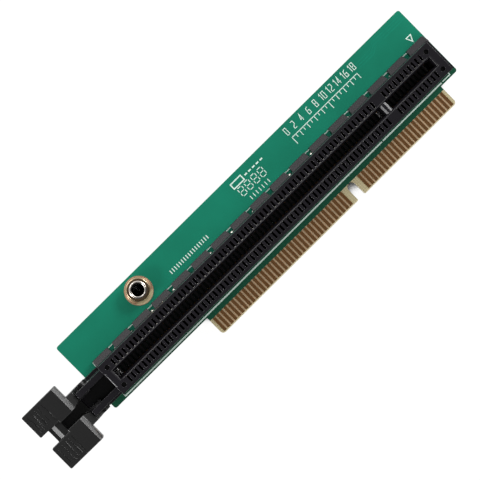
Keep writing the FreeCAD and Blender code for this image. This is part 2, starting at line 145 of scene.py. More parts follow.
# %% [markdown]
# ## The camera
#
# The picture is taken from almost straight above with a long lens, with the part turned so that
# its slot runs from the lower left to the upper right. A long lens far away keeps the board's
# edges nearly parallel, but the tall housing still leans a little, so the camera's height and
# aim were worked out from the corners of the board and of the housing's top.

# %% Camera
PICTURE_SIDE = 480           # pixels
FOCAL_PIXELS = 2329.08       # the lens's focal length in the picture's own pixels
SENSOR_WIDTH = 36.0          # millimetres, as Blender counts a sensor
board_corner = Vector((board_low.x, board_high.y, board_high.z))
camera_place = board_corner + Vector((24.24, 3.31, 457.2)) * MM
camera_aim = board_corner + Vector((40.67, -10.41, -2.7)) * MM
picture_up = Vector((0.7028, 0.7113, 0.0101))

camera_data = bpy.data.cameras.new("camera")
camera_data.sensor_width = SENSOR_WIDTH
camera_data.lens = FOCAL_PIXELS / PICTURE_SIDE * SENSOR_WIDTH
camera_data.clip_start = 10 * MM
camera = bpy.data.objects.new("camera", camera_data)
bpy.context.scene.collection.objects.link(camera)
towards_camera = (camera_place - camera_aim).normalized()
picture_right = picture_up.cross(towards_camera).normalized()
true_up = towards_camera.cross(picture_right)
camera.matrix_world = Matrix.Translation(camera_place) @ Matrix(
    (picture_right, true_up, towards_camera)).transposed().to_4x4()
bpy.context.scene.camera = camera
bpy.context.scene.view_settings.view_transform = "Standard"
print("lens", round(camera_data.lens, 1), "mm")

# %% [markdown]
# ## Floor and light
#
# A product picture like this is shot on a white sweep. Pushing lamps until the floor clips would
# also wash out the part, so the floor turns white only for rays that come straight from the
# camera, or by way of metal, where most of its colour is its own glow. The rest is a lit diffuse
# surface, and that share keeps a soft shadow under the part. Down the standoff's bore the paper is
# shut in by the part, and there it has to look dark. How much open sky a point of the paper sees
# tells the two apart, and between the two limits below it fades from dark to white.

# %% White floor
FLOOR_SIDE = 8.0             # metres
FLOOR_GAP = 0.05 * MM
FLOOR_GLOW_SHARE = 0.88
GLOW_STRENGTH = 1.08
HIDDEN_REACH = 6 * MM        # how near the part has to be to shut the paper in
SHUT_IN = 0.27               # share of open sky at which the paper is dark
OPEN = 0.36                  # share of open sky from which the paper is white

floor_mesh = bpy.data.meshes.new("floor")
half_side = FLOOR_SIDE / 2
floor_corners = [(-half_side, -half_side, 0), (half_side, -half_side, 0)]
floor_corners += [(half_side, half_side, 0), (-half_side, half_side, 0)]
floor_mesh.from_pydata(floor_corners, [], [(0, 1, 2, 3)])
floor = bpy.data.objects.new("floor", floor_mesh)
floor.location.z = cad_low.z - FLOOR_GAP
bpy.context.scene.collection.objects.link(floor)

paper = bpy.data.materials.new("white_paper_sweep")
paper.use_nodes = True
tree = paper.node_tree
tree.nodes.clear()
sky_share = add_node(tree, "ShaderNodeAmbientOcclusion", {"Distance": HIDDEN_REACH}, samples=24).outputs["AO"]
is_open = add_node(tree, "ShaderNodeMapRange",
                   {"Value": sky_share, "From Min": SHUT_IN, "From Max": OPEN}).outputs[0]
ray = add_node(tree, "ShaderNodeLightPath").outputs
seen = add_node(tree, "ShaderNodeMath", {0: ray["Is Camera Ray"], 1: ray["Is Glossy Ray"]},
                operation="MAXIMUM").outputs[0]
seen = add_node(tree, "ShaderNodeMath", {0: seen, 1: ray["Is Transmission Ray"]},
                operation="MAXIMUM").outputs[0]
share = add_node(tree, "ShaderNodeMath", {0: seen, 1: FLOOR_GLOW_SHARE}, operation="MULTIPLY").outputs[0]
share = add_node(tree, "ShaderNodeMath", {0: share, 1: is_open}, operation="MULTIPLY").outputs[0]
# Painted shade: where the paper is shut in, its own colour also goes from near white to near black.
paper_colour_with_painted_shade = add_node(tree, "ShaderNodeMix",
                        {"Factor": is_open, 6: linear("#161616"), 7: linear("#f2f2f2")},
                        data_type="RGBA").outputs[2]
matt = add_node(tree, "ShaderNodeBsdfDiffuse", {"Color": paper_colour_with_painted_shade}).outputs[0]
glow = add_node(tree, "ShaderNodeEmission",
                {"Color": linear("#ffffff"), "Strength": GLOW_STRENGTH}).outputs[0]
mixed = add_node(tree, "ShaderNodeMixShader", {0: share, 1: matt, 2: glow}).outputs[0]
add_node(tree, "ShaderNodeOutputMaterial", {"Surface": mixed})
floor_mesh.materials.append(paper)

# %% [markdown]
# Flat glossy faces that look up, such as the gold pads and the solder mask, mirror whatever is
# above the camera. In the picture they are deep in tone, so the room is dark overhead, brightest
# half way up and dimmer again near the horizon. That even ring of light also gives the soft shade
# beside the tall housing. A soft lamp on the board's plain side adds a direction, with a weaker
# one across from it, and two narrower ones at the part's ends draw the thin bright lines on every
# rounded edge. Each lamp has its place and its sides in metres and its power in watts.

# %% Soft lamps and room
def soft_lamp(name, place, width, height, power):
    """Rectangular soft lamp that faces the part's middle."""
    data = bpy.data.lights.new(name, "AREA")
    data.shape = "RECTANGLE"
    data.size = width
    data.size_y = height
    data.energy = power
    lamp = bpy.data.objects.new(name, data)
    lamp.location = place
    lamp.rotation_mode = "QUATERNION"
    lamp.rotation_quaternion = Vector(place).to_track_quat("Z", "Y")
    bpy.context.scene.collection.objects.link(lamp)


soft_lamp("main_lamp", place=(-0.10, 0.62, 0.60), width=0.50, height=0.30, power=2.3)
soft_lamp("latch_end_lamp", place=(-0.80, 0.05, 0.24), width=0.30, height=0.16, power=4.6)
soft_lamp("pin_one_end_lamp", place=(0.80, 0.10, 0.31), width=0.30, height=0.16, power=5.0)
soft_lamp("tongue_side_lamp", place=(0.15, -0.62, 0.62), width=0.50, height=0.30, power=1.0)

world = bpy.data.worlds.new("dim_room")
bpy.context.scene.world = world
world.use_nodes = True
room = world.node_tree
direction = add_node(room, "ShaderNodeTexCoord").outputs["Generated"]
height = add_node(room, "ShaderNodeSeparateXYZ", {0: direction}).outputs["Z"]
sky = add_node(room, "ShaderNodeValToRGB", {"Fac": height})
sky_stops = {0.0: "#b0b0b0", 0.3: "#eaeaea", 0.66: "#eaeaea", 0.86: "#5c5c5c"}
set_stops(sky, sky_stops)
room.links.new(sky.outputs["Color"], room.nodes["Background"].inputs["Color"])

# %% [markdown]
# ## Solder mask on glass-fibre laminate
#
# The board is FR4: woven glass set in epoxy, clad with copper and coated with green solder mask, a
# cured epoxy ink with a soft gloss and an IOR of about 1.5. The mask stops just above the gold
# pads, and below that line, as on the cut edges, the bare khaki laminate shows its weave. The strip
# between the slot and the pads is painted darker, a painted shade for the tall housing's shadow,
# and the narrow gaps between the pads look browner than the open laminate. All of that is one
# material here, chosen by place and by which way a face looks, because it is one piece. The glass
# cloth has a thread about every 0.45 mm.

# %% Board material
GLASS_THREAD_MM = 0.45
WAVE_LENGTH = 0.314          # a wave texture with a scale of 1 repeats after this length
MASK_OVERLAP_MM = 0.05
SHADE_STRIP_FROM_SLOT_MM = 3.2     # the strip's painted shade begins this far from the slot's middle
SHADE_STRIP_BLEND_MM = 0.3

solder_mask, tree, shader = new_material("green_solder_mask_on_fr4", Roughness=0.34, IOR=1.5)
place = place_in_mm(tree)
axis = add_node(tree, "ShaderNodeSeparateXYZ", {0: place}).outputs
facing = add_node(tree, "ShaderNodeTexCoord").outputs["Normal"]
lean = add_node(tree, "ShaderNodeSeparateXYZ", {0: facing}).outputs["Z"]
flatness = add_node(tree, "ShaderNodeMath", {0: lean}, operation="ABSOLUTE").outputs[0]
is_flat = add_node(tree, "ShaderNodeMath", {0: flatness, 1: 0.9}, operation="GREATER_THAN").outputs[0]
mask_edge_mm = pad_root_y / MM + MASK_OVERLAP_MM
is_above = add_node(tree, "ShaderNodeMath", {0: axis["Y"], 1: mask_edge_mm},
                    operation="GREATER_THAN").outputs[0]
has_mask = add_node(tree, "ShaderNodeMath", {0: is_flat, 1: is_above}, operation="MULTIPLY").outputs[0]

cloud = add_node(tree, "ShaderNodeTexNoise", {"Vector": place, "Scale": 0.12, "Detail": 3.0}).outputs["Fac"]
over_copper = add_node(tree, "ShaderNodeMix", {"Factor": cloud, 6: linear("#0a6e55"), 7: linear("#12886c")},
                       data_type="RGBA").outputs[2]
shade_strip_edge_mm = slot_y / MM - SHADE_STRIP_FROM_SLOT_MM
# Painted shade: the strip beside the housing on the tongue's side gets a darker green for the housing's
# shadow.
tongue_strip_painted_shade = add_node(tree, "ShaderNodeMapRange",
                        {"Value": axis["Y"], "From Min": shade_strip_edge_mm,
                         "From Max": shade_strip_edge_mm - SHADE_STRIP_BLEND_MM}).outputs[0]
mask_colour = add_node(tree, "ShaderNodeMix", {"Factor": tongue_strip_painted_shade, 6: over_copper, 7: linear("#10523a")},
                       data_type="RGBA").outputs[2]
threads = []
for direction_name in ("X", "Y"):
    band = add_node(tree, "ShaderNodeTexWave", {"Vector": place, "Scale": WAVE_LENGTH / GLASS_THREAD_MM,
                                                "Distortion": 0.6, "Detail": 1.0, "Detail Scale": 0.5},
                    wave_type="BANDS", bands_direction=direction_name)
    threads.append(band.outputs["Fac"])
weave = add_node(tree, "ShaderNodeMath", {0: threads[0], 1: threads[1]}, operation="MAXIMUM").outputs[0]
laminate_colour = add_node(tree, "ShaderNodeMix",
                           {"Factor": weave, 6: linear("#b8ac80"), 7: linear("#d4c8a2")},
                           data_type="RGBA").outputs[2]
for bank in ("front_pads_long_bank", "front_pads_short_bank"):
    bank_low, bank_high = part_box(bank)
    middle_mm = (bank_low.x + bank_high.x) / 2 / MM
    half_mm = (bank_high.x - bank_low.x) / 2 / MM
    in_bank = add_node(tree, "ShaderNodeMath", {0: axis["X"], 1: middle_mm, 2: half_mm},
                       operation="COMPARE").outputs[0]
    between_pads = add_node(tree, "ShaderNodeMath", {0: in_bank, 1: is_flat}, operation="MULTIPLY").outputs[0]
    laminate_colour = add_node(tree, "ShaderNodeMix",
                               {"Factor": between_pads, 6: laminate_colour, 7: linear("#bca382")},
                               data_type="RGBA").outputs[2]
colour = add_node(tree, "ShaderNodeMix", {"Factor": has_mask, 6: laminate_colour, 7: mask_colour},
                  data_type="RGBA").outputs[2]
tree.links.new(colour, shader.inputs["Base Color"])
relief = add_node(tree, "ShaderNodeMath", {0: weave, 1: cloud}, operation="ADD").outputs[0]
bump = add_node(tree, "ShaderNodeBump", {"Height": relief, "Strength": 0.5, "Distance": 0.004 * MM})
tree.links.new(bump.outputs[0], shader.inputs["Normal"])

# %% [markdown]
# ## Hard gold plate
#
# Edge pads are copper with nickel and a thin hard gold over it, plated flat and bright and then
# scratched lengthwise each time the card is plugged in. Gold is a metal, so its colour lives in
# its reflection: under a dark ceiling it looks brown, and it flashes yellow when a lamp crosses
# it. The scratches are noise stretched 30 times along the pads.

# %% Gold material
SCRATCHES_PER_MM = 18.0
SCRATCH_STRETCH = 30

hard_gold, tree, shader = new_material("hard_gold_plate_on_nickel", Metallic=1.0)
place = place_in_mm(tree)
scratch_scale = (SCRATCHES_PER_MM, SCRATCHES_PER_MM / SCRATCH_STRETCH, SCRATCHES_PER_MM)
stretched = add_node(tree, "ShaderNodeMapping", {"Vector": place, "Scale": scratch_scale}).outputs[0]
scratch = add_node(tree, "ShaderNodeTexNoise",
                   {"Vector": stretched, "Scale": 1.0, "Detail": 4.0}).outputs["Fac"]
tone = add_node(tree, "ShaderNodeMix", {"Factor": scratch, 6: linear("#cf8c50"), 7: linear("#e8b27c")},
                data_type="RGBA").outputs[2]
tree.links.new(tone, shader.inputs["Base Color"])
gloss = add_node(tree, "ShaderNodeMapRange", {"Value": scratch, "To Min": 0.20, "To Max": 0.36}).outputs[0]
tree.links.new(gloss, shader.inputs["Roughness"])
bump = add_node(tree, "ShaderNodeBump", {"Height": scratch, "Strength": 0.4, "Distance": 0.002 * MM})
tree.links.new(bump.outputs[0], shader.inputs["Normal"])

# %% [markdown]
# ## Moulded plastics
#
# The slot housing is a glass-filled polyester that survives the solder bath. Short glass fibres
# under the skin leave it satin, with a faint fleck. The lever is nylon from a spark-eroded tool,
# which prints a fine even grain of about 0.12 mm. Both are black but not equal: the nylon is
# rougher and has no violet tinge. One function makes both, because they differ only in numbers. The
# tone of each drifts a little over 4 mm, as plastic does where it flowed together.

# %% Plastic materials
FLOW_MARK_MM = 4.0


def moulded_plastic(name, dark, light, roughness, grain_mm, depth_mm):
    """Black moulded plastic with a grain of the given size."""
    material, tree, shader = new_material(name, Roughness=roughness, IOR=1.53)
    place = place_in_mm(tree)
    grain = add_node(tree, "ShaderNodeTexNoise",
                     {"Vector": place, "Scale": 1 / grain_mm, "Detail": 2.0}).outputs["Fac"]
    flow = add_node(tree, "ShaderNodeTexNoise",
                    {"Vector": place, "Scale": 1 / FLOW_MARK_MM, "Detail": 2.0}).outputs["Fac"]
    tone = add_node(tree, "ShaderNodeMix", {"Factor": flow, 6: linear(dark), 7: linear(light)},
                    data_type="RGBA").outputs[2]
    tree.links.new(tone, shader.inputs["Base Color"])
    bump = add_node(tree, "ShaderNodeBump", {"Height": grain, "Strength": 0.6, "Distance": depth_mm * MM})
    tree.links.new(bump.outputs[0], shader.inputs["Normal"])
    return material


housing_plastic = moulded_plastic("moulded_black_glass_filled_polyester", "#110f14", "#161419",
                                  roughness=0.30, grain_mm=0.16, depth_mm=0.003)
lever_nylon = moulded_plastic("spark_textured_black_nylon", "#0c0c0c", "#101010",
                              roughness=0.38, grain_mm=0.12, depth_mm=0.004)

# %% [markdown]
# ## Spring bronze, tin and solder
#
# The contact springs are stamped from phosphor bronze and tin plated, with gold only in a band
# where they touch the card, so one material changes with height. Solder is a dull silver with a
# fine frosty grain. The copper ring round the standoff has a thin gold flash, and it looks pale
# because etched copper is matt.

# %% Metal materials
TOUCH_BELOW_TIP_MM = 2.0     # a spring touches the card this far below its tip
GOLD_REACH_MM = 1.2          # and its gold reaches this far above and below that place
FROST_SPREAD = 0.06          # how far a grained metal's roughness wanders from grain to grain

contact_metal, tree, shader = new_material("phosphor_bronze_with_gold_and_tin_plate",
                                           Metallic=1.0, Roughness=0.34)
height_mm = add_node(tree, "ShaderNodeSeparateXYZ", {0: place_in_mm(tree)}).outputs["Z"]
touch_height_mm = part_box("plain_side_inner_contacts")[1].z / MM - TOUCH_BELOW_TIP_MM
is_gold = add_node(tree, "ShaderNodeMath", {0: height_mm, 1: touch_height_mm, 2: GOLD_REACH_MM},
                   operation="COMPARE").outputs[0]
tone = add_node(tree, "ShaderNodeMix", {"Factor": is_gold, 6: linear("#84827e"), 7: linear("#a98544")},
                data_type="RGBA").outputs[2]
tree.links.new(tone, shader.inputs["Base Color"])


def grained_metal(name, dark, light, roughness, grain_mm, depth_mm):
    """Plated or soldered metal with a frosty grain of the given size."""
    material, tree, shader = new_material(name, Metallic=1.0)
    place = place_in_mm(tree)
    grain = add_node(tree, "ShaderNodeTexNoise",
                     {"Vector": place, "Scale": 1 / grain_mm, "Detail": 3.0}).outputs["Fac"]
    tone = add_node(tree, "ShaderNodeMix", {"Factor": grain, 6: linear(dark), 7: linear(light)},
                    data_type="RGBA").outputs[2]
    tree.links.new(tone, shader.inputs["Base Color"])
    gloss = add_node(tree, "ShaderNodeMapRange",
                     {"Value": grain, "To Min": roughness - FROST_SPREAD,
                      "To Max": roughness + FROST_SPREAD}).outputs[0]
    tree.links.new(gloss, shader.inputs["Roughness"])
    bump = add_node(tree, "ShaderNodeBump", {"Height": grain, "Strength": 0.5, "Distance": depth_mm * MM})
    tree.links.new(bump.outputs[0], shader.inputs["Normal"])
    return material


solder_metal = grained_metal("reflowed_tin_solder", "#b3b0a8", "#d2cfc6",
                             roughness=0.30, grain_mm=0.2, depth_mm=0.008)
flux_stained_solder_with_painted_highlight = grained_metal("flux_stained_tin_solder_with_painted_highlight", "#93745a", "#b5946f",
                                    roughness=0.50, grain_mm=0.3, depth_mm=0.006)
immersion_gold = grained_metal("immersion_gold_on_copper_land", "#d8a890", "#e8c4ae",
                               roughness=0.5, grain_mm=0.6, depth_mm=0.004)

# %% [markdown]
# The solder round the standoff is lopsided. Where it lies thin, the flux that dried on it makes it
# brown and takes most of the metal's shine. On the slot's side it stands thick, and there a pale
# tone is painted in, a painted highlight for that side's bright reflection, so the tone changes
# across the collar.

# %% Painted highlight on the slot's side of the standoff's solder
FLUX_METALLIC = 0.35
HIGHLIGHT_FROM_MIDDLE_MM = 1.7
HIGHLIGHT_BLEND_MM = 0.5

tree = flux_stained_solder_with_painted_highlight.node_tree
shader = tree.nodes["Principled BSDF"]
shader.inputs["Metallic"].default_value = FLUX_METALLIC
stained = shader.inputs["Base Color"].links[0].from_socket
across_mm = add_node(tree, "ShaderNodeSeparateXYZ", {0: place_in_mm(tree)}).outputs["Y"]
highlight_edge_mm = standoff_middle.y / MM - HIGHLIGHT_FROM_MIDDLE_MM
# Painted highlight: on the slot's side the solder is coloured pale, in place of the bright reflection there.
is_painted_highlight = add_node(tree, "ShaderNodeMapRange",
                    {"Value": across_mm, "From Min": highlight_edge_mm,
                     "From Max": highlight_edge_mm - HIGHLIGHT_BLEND_MM}).outputs[0]
tone = add_node(tree, "ShaderNodeMix", {"Factor": is_painted_highlight, 6: stained, 7: linear("#f6e2b4")},
                data_type="RGBA").outputs[2]
tree.links.new(tone, shader.inputs["Base Color"])

# %% [markdown]
# The standoff is turned from brass and tin plated. Tin stays bright on the polished lip of the
# bore and goes brown on the flat face from flux and heat, so the finish here changes with the
# distance from the bore's axis. Below the lip, the bore's wall is coloured near black. The turning
# tool left fine rings on the face.

# %% Turned standoff material
BANDS_FROM_MM = 1.2          # the tones run from this radius, at the bore,
BANDS_TO_MM = 2.4            # to this one, at the collar's rim
LIP_HEIGHT_MM = 0.16         # below the lip, the inside of the bore is coloured near black
LIP_RADIUS_MM = 1.6
TOOL_MARK_RADIANS = 40.0     # of a sine for each millimetre of radius: a mark every 0.16 mm

turned_tin, tree, shader = new_material("turned_brass_with_tin_plate", Metallic=1.0, Roughness=0.26)
centre_mm = (standoff_middle.x / MM, standoff_middle.y / MM, 0.0)
from_axis = add_node(tree, "ShaderNodeVectorMath", {0: place_in_mm(tree), 1: centre_mm},
                     operation="SUBTRACT").outputs[0]
flattened = add_node(tree, "ShaderNodeVectorMath", {0: from_axis, 1: (1, 1, 0)},
                     operation="MULTIPLY").outputs[0]
radius_mm = add_node(tree, "ShaderNodeVectorMath", {0: flattened}, operation="LENGTH").outputs["Value"]
share = add_node(tree, "ShaderNodeMapRange",
                 {"Value": radius_mm, "From Min": BANDS_FROM_MM, "From Max": BANDS_TO_MM}).outputs[0]
bands = add_node(tree, "ShaderNodeValToRGB", {"Fac": share})
band_stops = {0.0: "#efe9e2", 0.44: "#e6ddd2", 0.52: "#b09474", 0.84: "#a58a6a", 0.94: "#e2cfb4"}
set_stops(bands, band_stops)
height_mm = add_node(tree, "ShaderNodeSeparateXYZ", {0: place_in_mm(tree)}).outputs["Z"]
lip_foot_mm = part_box("standoff")[1].z / MM - LIP_HEIGHT_MM
is_deep = add_node(tree, "ShaderNodeMath", {0: height_mm, 1: lip_foot_mm}, operation="LESS_THAN").outputs[0]
is_inside = add_node(tree, "ShaderNodeMath", {0: radius_mm, 1: LIP_RADIUS_MM},
                     operation="LESS_THAN").outputs[0]
in_bore = add_node(tree, "ShaderNodeMath", {0: is_deep, 1: is_inside}, operation="MULTIPLY").outputs[0]
tone = add_node(tree, "ShaderNodeMix",
                {"Factor": in_bore, 6: bands.outputs["Color"], 7: linear("#30241c")},
                data_type="RGBA").outputs[2]
tree.links.new(tone, shader.inputs["Base Color"])
rings = add_node(tree, "ShaderNodeMath", {0: radius_mm, 1: TOOL_MARK_RADIANS},
                 operation="MULTIPLY").outputs[0]
tool_marks = add_node(tree, "ShaderNodeMath", {0: rings}, operation="SINE").outputs[0]
bump = add_node(tree, "ShaderNodeBump", {"Height": tool_marks, "Strength": 0.3, "Distance": 0.002 * MM})
tree.links.new(bump.outputs[0], shader.inputs["Normal"])

# %% [markdown]
# ## Which solid gets which finish
#
# Every solid is listed once with its finish, also the four that finer meshes stand for later, so
# a look at the plain solids has the same colours as the finished part.

# %% Give the solids their finishes
finishes = {
    "board": solder_mask,
    "front_pads_long_bank": hard_gold,
    "front_pads_short_bank": hard_gold,
    "back_pads_long_bank": hard_gold,
    "back_pads_short_bank": hard_gold,
    "slot_housing": housing_plastic,
    "tongue_side_inner_contacts": contact_metal,
    "tongue_side_outer_contacts": contact_metal,
    "plain_side_inner_contacts": contact_metal,
    "plain_side_outer_contacts": contact_metal,
    "latch_lever": lever_nylon,
    "standoff": turned_tin,
    "standoff_solder": flux_stained_solder_with_painted_highlight,
    "front_copper_ring": immersion_gold,
    "back_copper_ring": immersion_gold,
}
for node_name, material in finishes.items():
    materials = frame["nodes"][node_name].data.materials
    for index in range(len(materials)):
        materials[index] = material
print(len(finishes), "solids have their finish")

# %% [markdown]
# ## Softer edges for the moulded pieces
#
# A steel mould never has a perfect corner, and the tiny radius it leaves is what catches the light
# as a thin bright line. The solids have sharp corners, so each moulded piece is copied, its
# triangles are merged back to whole faces, and its corners are bevelled in real geometry. The lip
# of the slot has a wider bevel, where a card is led in. The housing's copy differs from its solid
# in two more places: the round ejector marks in its corners are deeper, and the ears stay level
# to their ends.

# %% Bevelled copies of the housing and the lever
MERGE_DISTANCE = 0.002 * MM
FLAT_ANGLE = math.radians(1.5)
HOUSING_EDGE_RADIUS = 0.055 * MM
SLOT_LIP_RADIUS = 0.22 * MM
SLOT_LIP_BAND = (0.9 * MM, 1.3 * MM)    # the lip lies between these distances from the slot's middle
SHORTEST_LIP = 0.5 * MM
LEVER_EDGE_RADIUS = 0.14 * MM
SHORTEST_LEVER_EDGE = 0.3 * MM
PIN_MARK_DEPTH = 1.2 * MM
SOLID_MARK_LIMIT = 0.35 * MM # the solid's round marks are shallower than this
BESIDE_WINDOWS = 1.6 * MM    # the marks lie further than this from the slot's middle
EARS_REACH = 3.5 * MM        # the ears' edges end this far along the board
MARKS_START = 4.0 * MM       # and the marks begin this far along it
EAR_TOP_HEIGHT = 8.7 * MM    # of the ears' level tops above the board
EAR_NOSE_HEIGHT = 6.0 * MM   # corners of the ears' ends that are higher than this are raised
ABOVE_FEET = 3.0 * MM        # so high above the board, the ears are the housing's outermost part
RIM_DEPTH = 0.7 * MM         # edges nearer to the top than this are rims of windows or of the slot
OUTER_FORM = 3.0 * MM        # further from the slot's middle than this, edges are outer ones
SAME = 0.01 * MM             # places nearer to each other than this count as one


def finish_piece(name, bm, material, body, smooth_angle=35):
    """Turn a built mesh into a piece that rides on a body."""
    bmesh.ops.recalc_face_normals(bm, faces=bm.faces)
    mesh = bpy.data.meshes.new(name)
    bm.to_mesh(mesh)
    bm.free()
    mesh.materials.append(material)
    mesh.shade_smooth()
    mesh.set_sharp_from_angle(angle=math.radians(smooth_angle))
    piece = bpy.data.objects.new(name, mesh)
    bpy.context.scene.collection.objects.link(piece)
    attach(piece, body)
    mesh.calc_loop_triangles()
    print(name, len(mesh.loop_triangles), "triangles")
    return piece


def whole_faces(node_name):
    """Copy of a solid's mesh with its triangles merged back to whole flat faces."""
    bm = bmesh.new()
    bm.from_mesh(frame["nodes"][node_name].data)
    bmesh.ops.remove_doubles(bm, verts=bm.verts, dist=MERGE_DISTANCE)
    bmesh.ops.dissolve_limit(bm, angle_limit=FLAT_ANGLE, verts=bm.verts, edges=bm.edges)
    return bm


def soften(bm, width, wanted, sharp_angle=25):
    """Bevel the sharp edges that the test wants."""
    edges = []
    for edge in bm.edges:
        if len(edge.link_faces) == 2 and edge.calc_face_angle(0) > math.radians(sharp_angle):
            if wanted(edge):
                edges.append(edge)
    bmesh.ops.bevel(bm, geom=edges, offset=width, offset_type="OFFSET", segments=2, profile=0.5,
                    affect="EDGES", clamp_overlap=False)
    return len(edges)


def weigh_normals(piece):
    """Let each large face keep its flat shading beside a bevel, and fix the result in the mesh."""
    modifier = piece.modifiers.new("even_shading", "WEIGHTED_NORMAL")
    modifier.keep_sharp = True
    evaluated = piece.evaluated_get(bpy.context.evaluated_depsgraph_get())
    piece_mesh = bpy.data.meshes.new_from_object(evaluated)
    piece.modifiers.clear()
    piece.data = piece_mesh


def is_outer_housing_edge(edge):
    """True for edges of the outer form, the slot's mouth and the windows' rims."""
    middle = (edge.verts[0].co + edge.verts[1].co) / 2
    at_rim = min(v.co.z for v in edge.verts) > housing_top - RIM_DEPTH
    outside = abs(middle.y - slot_y) > OUTER_FORM and middle.z > board_high.z + SAME
    at_ears = middle.x < board_low.x + EARS_REACH
    return at_rim or outside or at_ears


def is_slot_lip(edge):
    """True for the long top edges of the slot's lead-in."""
    on_top = min(v.co.z for v in edge.verts) > housing_top - 2 * SAME
    nearest, farthest = SLOT_LIP_BAND
    beside_slot = all(nearest < abs(v.co.y - slot_y) < farthest for v in edge.verts)
    return on_top and beside_slot and edge.calc_length() > SHORTEST_LIP


def is_pin_mark_floor(vertex):
    """True for the floors of the shallow round marks, which lie beside the windows."""
    under_top = housing_top - SOLID_MARK_LIMIT < vertex.co.z < housing_top - SAME
    beside_windows = abs(vertex.co.y - slot_y) > BESIDE_WINDOWS
    return under_top and beside_windows and vertex.co.x > board_low.x + MARKS_START


bm = whole_faces("slot_housing")
mark_floor = [vertex for vertex in bm.verts if is_pin_mark_floor(vertex)]
print(len(mark_floor), "corners of the pin marks go deeper")
for vertex in mark_floor:
    vertex.co.z = housing_top - PIN_MARK_DEPTH
ear_end = min(vertex.co.x for vertex in bm.verts if vertex.co.z > board_high.z + ABOVE_FEET)
for vertex in bm.verts:
    if abs(vertex.co.x - ear_end) < SAME and vertex.co.z > board_high.z + EAR_NOSE_HEIGHT:
        vertex.co.z = board_high.z + EAR_TOP_HEIGHT
softened = soften(bm, SLOT_LIP_RADIUS, is_slot_lip)
softened += soften(bm, HOUSING_EDGE_RADIUS, is_outer_housing_edge)
print(softened, "housing edges softened")
housing_piece = finish_piece("moulded_slot_housing", bm, housing_plastic, "card")
weigh_normals(housing_piece)
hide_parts("slot_housing")

bm = whole_faces("latch_lever")
softened = soften(bm, LEVER_EDGE_RADIUS, lambda edge: edge.calc_length() > SHORTEST_LEVER_EDGE)
print(softened, "lever edges softened")
lever_piece = finish_piece("moulded_latch_lever", bm, lever_nylon, "latch")
weigh_normals(lever_piece)
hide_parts("latch_lever")

# %% [markdown]
# ## The turned and threaded standoff
#
# On the real card a small brass collar is soldered into the board and takes a bracket's screw. Its
# bore has an M3 thread, which the plain solid leaves out. A screw modifier could make one, but a
# thread is only a radius that changes with height and turn, so here the whole collar is one
# lathe mesh whose bore rows move in and out. Its lip is rounded, and that draws the bright ring.

# %% Standoff with its thread
THREAD_PITCH = 0.5 * MM
THREAD_DEPTH = 0.22 * MM
BORE_ROW_STEP = 0.0625 * MM
TURN_STEPS = 96
COLLAR_RADIUS_MM = 2.35
SPIGOT_RADIUS_MM = 1.75      # of the part that stands in the board's hole
SEAT_GAP = 0.04 * MM         # the copper ring's thickness under the collar
THREAD_BELOW_FACE = 0.36 * MM

collar_low, collar_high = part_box("standoff")
bore_radius = mounts["standoff_thread"]["dims"]["r_mm"] * MM
seat = board_high.z + SEAT_GAP
lip_mm = [(1.26, -0.30), (1.30, -0.14), (1.38, -0.04), (1.48, 0.0), (1.60, -0.02), (1.70, -0.08)]
edge_mm = [(1.76, -0.16), (2.10, -0.16), (2.24, -0.19), (2.32, -0.27), (COLLAR_RADIUS_MM, -0.38)]
outer_side = [(r * MM, collar_high.z + z * MM) for r, z in lip_mm + edge_mm]
outer_side += [(COLLAR_RADIUS_MM * MM, seat), (SPIGOT_RADIUS_MM * MM, seat)]
outer_side += [(SPIGOT_RADIUS_MM * MM, collar_low.z)]
thread_top = collar_high.z - THREAD_BELOW_FACE
row_count = int((thread_top - collar_low.z) / BORE_ROW_STEP)


def bore_at(height, turn):
    """Radius of the threaded bore at a height and a share of a turn, plain at both ends."""
    groove = 1 - abs(2 * (((height - collar_low.z) / THREAD_PITCH - turn) % 1.0) - 1)
    run_out = min(1.0, (height - collar_low.z) / THREAD_PITCH, (thread_top - height) / THREAD_PITCH)
    return bore_radius + THREAD_DEPTH * groove * max(run_out, 0.0)


def join_rings(bm, rings, closed):
    """Quads between neighbouring rings of vertices, each ring being a closed loop."""
    following_rings = rings[1:] + ([rings[0]] if closed else [])
    for ring, following in zip(rings, following_rings):
        for k in range(len(ring)):
            bm.faces.new((ring[k - 1], ring[k], following[k], following[k - 1]))


def add_circle(bm, x, y, radius, z, steps):
    """Level circle of vertices round an upright axis."""
    angles = [2 * math.pi * k / steps for k in range(steps)]
    return [bm.verts.new((x + radius * math.cos(a), y + radius * math.sin(a), z)) for a in angles]


bm = bmesh.new()
loops = []
for step in range(TURN_STEPS):
    turn = step / TURN_STEPS
    angle = 2 * math.pi * turn
    heights = [collar_low.z + row * BORE_ROW_STEP for row in range(row_count + 1)]
    section = outer_side + [(bore_at(height, turn), height) for height in heights]
    cosine = math.cos(angle)
    sine = math.sin(angle)
    loops.append([bm.verts.new((standoff_middle.x + r * cosine, standoff_middle.y + r * sine, z))
                  for r, z in section])
join_rings(bm, loops, closed=True)
standoff_piece = finish_piece("turned_threaded_standoff", bm, turned_tin, "card", smooth_angle=50)
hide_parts("standoff")

# %% [markdown]
# Solder climbs the collar in a hollow curve and runs out thin over the copper ring. The collar
# floated off the ring's middle while the solder was liquid, so the fillet is wider on one side.
# Each ring of the mesh lies between two circles with different middles, which gives that shape.

# %% Solder fillet round the standoff
FILLET_HEIGHT = 0.34 * MM
FILLET_REACH = 2.82 * MM
FILLET_SINK = 0.01 * MM      # the fillet's foot stands this deep in the ring
FILLET_STEPS = 8

